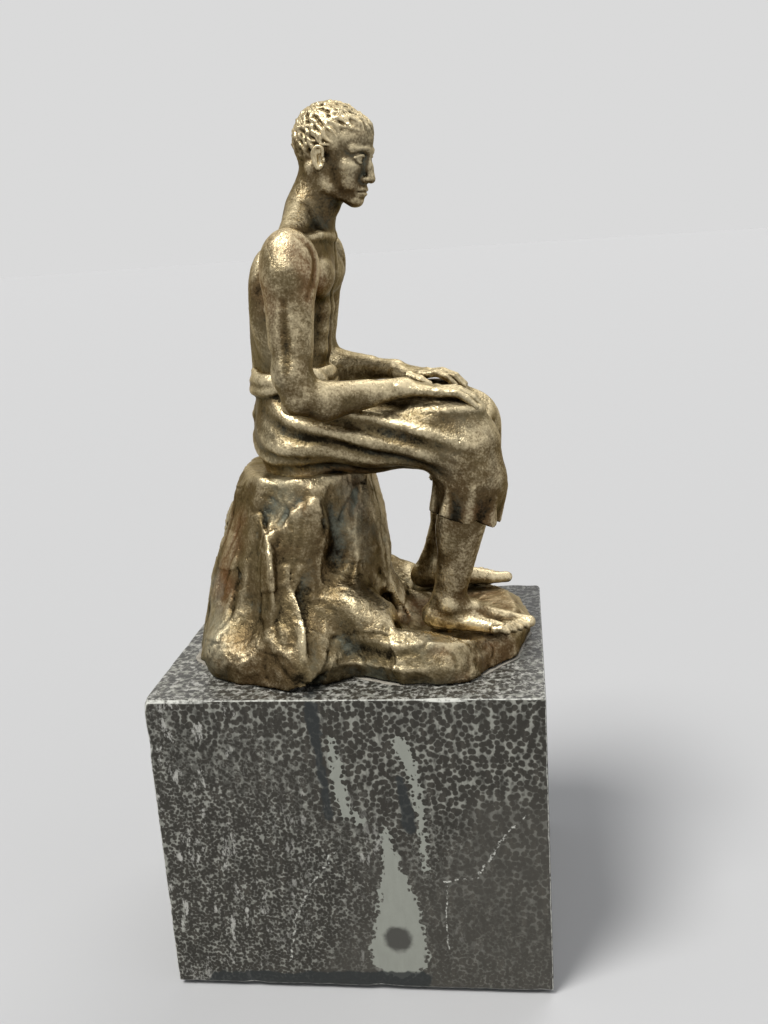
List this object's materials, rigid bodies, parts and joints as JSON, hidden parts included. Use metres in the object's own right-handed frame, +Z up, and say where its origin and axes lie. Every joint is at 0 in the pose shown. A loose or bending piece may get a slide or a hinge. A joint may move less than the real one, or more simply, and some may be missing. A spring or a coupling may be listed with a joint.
{
  "type": "seated figure statuette",
  "caption": "Patinated bronze seated figure in a wrapped cloth on a rough bronze rock, held by studs on a dark speckled stone block with a felt foot.",
  "frame": {"origin": "middle of the underside, on the surface that the statuette stands on", "axes": "+Z up, +X the way the figure faces, +Y to the figure's left"},
  "size_m": [0.12, 0.1, 0.2702],
  "materials": {
    "felt": "pressed wool felt",
    "stone": "polished dark speckled stone",
    "wax": "dull pale wax",
    "rock_bronze": "rough cast, brown and grey-green patina",
    "figure_bronze": "hand-modelled cast, brown patina rubbed to gold",
    "dowel_bronze": "plain drawn rod",
    "steel": "zinc plated"
  },
  "bodies": {
    "root": {"base_felt": "felt", "stone_block": "stone", "bedding_wax": "wax", "rock_seat": "rock_bronze", "draped_hips": "figure_bronze", "right_lower_leg": "figure_bronze", "left_lower_leg": "figure_bronze", "torso": "figure_bronze", "right_arm": "figure_bronze", "left_arm": "figure_bronze", "head": "figure_bronze", "neck_dowel": "dowel_bronze", "waist_pins": "dowel_bronze", "shoulder_dowels": "dowel_bronze", "knee_dowels": "dowel_bronze", "foot_dowels": "dowel_bronze", "seat_screws": "steel", "mounting_studs": "steel", "stud_washers": "steel", "stud_nuts": "steel"}
  },
  "joints": []
}
